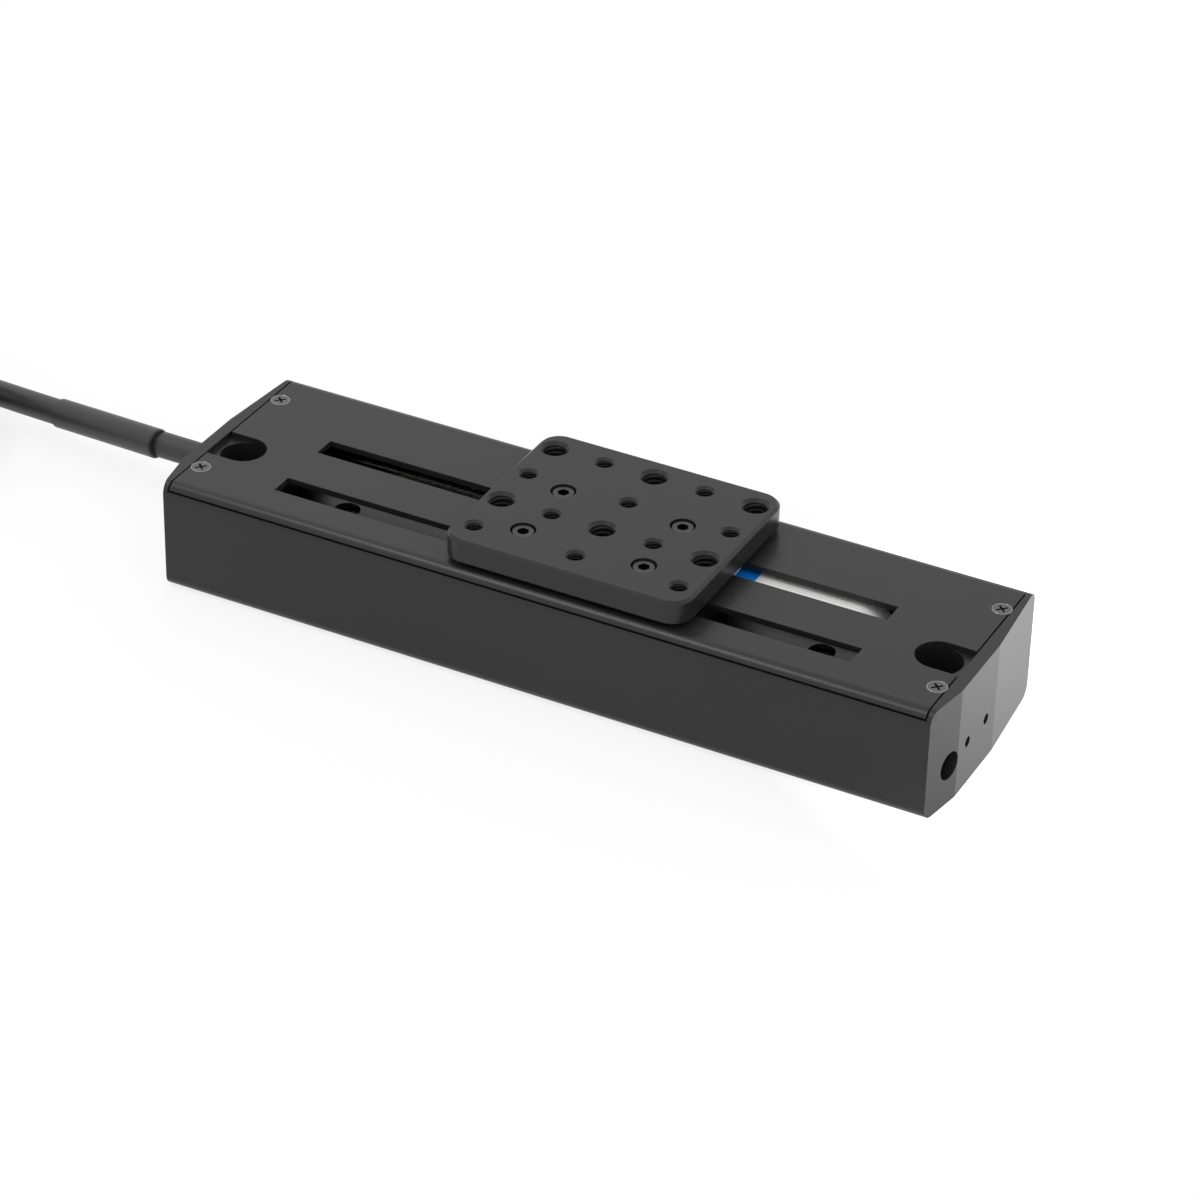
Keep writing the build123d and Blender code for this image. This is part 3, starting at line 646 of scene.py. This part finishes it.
def sleeve():
    """A thin tube that follows the cable's own line from the boot's side to where it bends away."""
    along = [p for p in cable_line if sleeve_low[0] < p[0] < sleeve_high[0] and p[1] > 0]
    along = [Vector((sleeve_high[0], cable_line[0][1], cable_line[0][2]))] + along
    rings = []
    for k, p in enumerate(along):
        ahead = (along[min(k + 1, len(along) - 1)] - along[max(k - 1, 0)]).normalized()
        sideways = ahead.cross(Vector((0, 0, 1))).normalized()
        above = sideways.cross(ahead)
        for shrink, forward in ((sleeve_lip, 0.0), (0.0, lip_length)) if k == 0 else ((0.0, 0.0),):
            ring = []
            for s in range(sleeve_sides):
                turned = 2 * pi * s / sleeve_sides
                outward = sideways * cos(turned) + above * sin(turned)
                ring.append(p + ahead * forward + outward * (sleeve_radius - shrink))
            rings.append(ring)
    verts, faces = joined_rings(rings)
    piece = mesh_piece("shrink_sleeve", verts, faces, "base", sleeve_plastic)
    piece.data.set_sharp_from_angle(angle=radians(40))
    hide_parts("cable_sleeve")
    return piece


sleeve_piece = sleeve()
print("sleeve", round((sleeve_high[0] - sleeve_low[0]) * 1000, 1), "mm long")

# %% [markdown]
# A countersunk head and a cap head both have a turned rim that catches the light as a fine ring, which
# is what makes a small dark screw readable. That ring is a painted highlight here: a thin torus of
# light steel, laid on the edge of each head, stands in for it.

# %% Painted highlight rings on the screw heads
def rims(name, places, radius, wire, body, material):
    """A thin ring on each head, lying level at its place."""
    verts, faces = [], []
    around, across = 40, 8
    for place in places:
        start = len(verts)
        for k in range(around):
            a = 2 * pi * k / around
            for s in range(across):
                b = 2 * pi * s / across
                out = radius + wire * cos(b)
                verts.append(Vector((out * cos(a), out * sin(a), wire * sin(b))) + place)
        for k in range(around):
            for s in range(across):
                one = start + k * across + s
                two = start + k * across + (s + 1) % across
                three = start + ((k + 1) % around) * across + (s + 1) % across
                four = start + ((k + 1) % around) * across + s
                faces.append((one, four, three, two))
    return mesh_piece(name, verts, faces, body, material)


# A light steel stands in for the rims' highlight: these rings are painted highlights on the dark heads.
rim_highlight_steel = plain_metal("light steel as painted rim highlight", "#b5b5b6", 0.22)
cover_head_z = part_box("cover_screws")[1][2]
cover_screw_x, cover_screw_y = 92.0 * mm, 17.5 * mm
cover_heads = [Vector((sx * cover_screw_x, sy * cover_screw_y, cover_head_z - 0.05 * mm))
               for sx in (-1, 1) for sy in (-1, 1)]
rims("cover_screw_rim_highlights", cover_heads, 2.22 * mm, 0.09 * mm, "base", rim_highlight_steel)
rail_head_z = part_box("rail_screws")[1][2]
rail_heads = [Vector((x * mm, axis_y, rail_head_z - 0.12 * mm)) for x in (-60, -20, 20, 60)]
rims("rail_screw_rim_highlights", rail_heads, 2.5 * mm, 0.12 * mm, "base", rim_highlight_steel)
print("rims on", len(cover_heads) + len(rail_heads), "heads")

# %% [markdown]
# The room is plain: a white floor and white walls far away, and soft light from all round. The black
# skin mirrors that white, more at a low angle, and that is what shades its faces. Three weak soft
# lamps only add to it: two from behind and a narrow one overhead, whose streak runs along the
# cover's rounded edge. The right end looks down at the floor behind it, where a painted pool of light,
# a patch of the floor that glows up to three times brighter, makes its three facets step from grey to pale.

# %% Room and light
world = bpy.data.worlds.new("room")
bpy.context.scene.world = world
world.use_nodes = True
sky = world.node_tree
surround = sky.nodes["Background"]
surround.inputs["Color"].default_value = (1, 1, 1, 1)
surround.inputs["Strength"].default_value = 1.0

floor_mesh = bpy.data.meshes.new("floor")
reach = 6.0
floor_mesh.from_pydata(
    [(-reach, -reach, 0), (reach, -reach, 0), (reach, reach, 0), (-reach, reach, 0)], [], [(0, 1, 2, 3)]
)
floor = bpy.data.objects.new("floor", floor_mesh)
bpy.context.scene.collection.objects.link(floor)


glow_share = 0.8
# Painted pool of light: round this spot the floor glows up to three times brighter, for the camera and in
# reflections.
light_pool_place = (0.14, 0.06, 0.0)
light_pool_radius = 0.12
light_pool_strength = 3.0


def floor_paint():
    made, tree, shader = start_material("matte white table with a painted light pool", "#f4f4f4", 0.9)
    shader.inputs["Specular IOR Level"].default_value = 0.0
    path = add(tree, "ShaderNodeLightPath")
    seen = add(
        tree, "ShaderNodeMath", joins={0: path.outputs["Is Camera Ray"], 1: path.outputs["Is Glossy Ray"]},
        operation="MAXIMUM",
    )
    place = add(tree, "ShaderNodeTexCoord")
    away = add(
        tree, "ShaderNodeVectorMath", {1: light_pool_place}, {0: place.outputs["Object"]},
        operation="DISTANCE",
    )
    # the painted light pool: the glow is brightest at its middle and falls to the plain floor's at its edge
    pool = add(
        tree, "ShaderNodeMapRange",
        {"From Min": 0.0, "From Max": light_pool_radius, "To Min": light_pool_strength, "To Max": 1.0},
        {"Value": away.outputs["Value"]},
    )
    glow = add(tree, "ShaderNodeEmission", {"Color": (1, 1, 1, 1)}, {"Strength": pool.outputs["Result"]})
    share = add(tree, "ShaderNodeMath", {1: glow_share}, {0: seen.outputs[0]}, operation="MULTIPLY")
    mix = add(
        tree, "ShaderNodeMixShader",
        joins={0: share.outputs[0], 1: shader.outputs["BSDF"], 2: glow.outputs["Emission"]},
    )
    tree.links.new(mix.outputs["Shader"], tree.nodes["Material Output"].inputs["Surface"])
    return made


floor.data.materials.append(floor_paint())


def lamp(name, place, aim, size, power):
    """A soft rectangular lamp that faces a point."""
    light = bpy.data.lights.new(name, "AREA")
    light.shape = "RECTANGLE"
    light.size, light.size_y = size
    light.energy = power
    made = bpy.data.objects.new(name, light)
    bpy.context.scene.collection.objects.link(made)
    made.location = place
    made.rotation_euler = (Vector(place) - Vector(aim)).to_track_quat("Z", "Y").to_euler()
    return made


lamp("rear_left_softbox", (-0.9, 0.7, 1.2), (0, 0, 0), (0.8, 0.8), 0.6)
lamp("rear_right_softbox", (1.0, 1.5, 0.35), (0.1, 0, 0), (0.9, 0.6), 0.4)
lamp("overhead_strip", (-0.45, -0.3, 1.15), (0, 0, 0), (0.5, 0.12), 2.4)
bpy.context.scene.view_settings.view_transform = "Standard"
print("room ready")
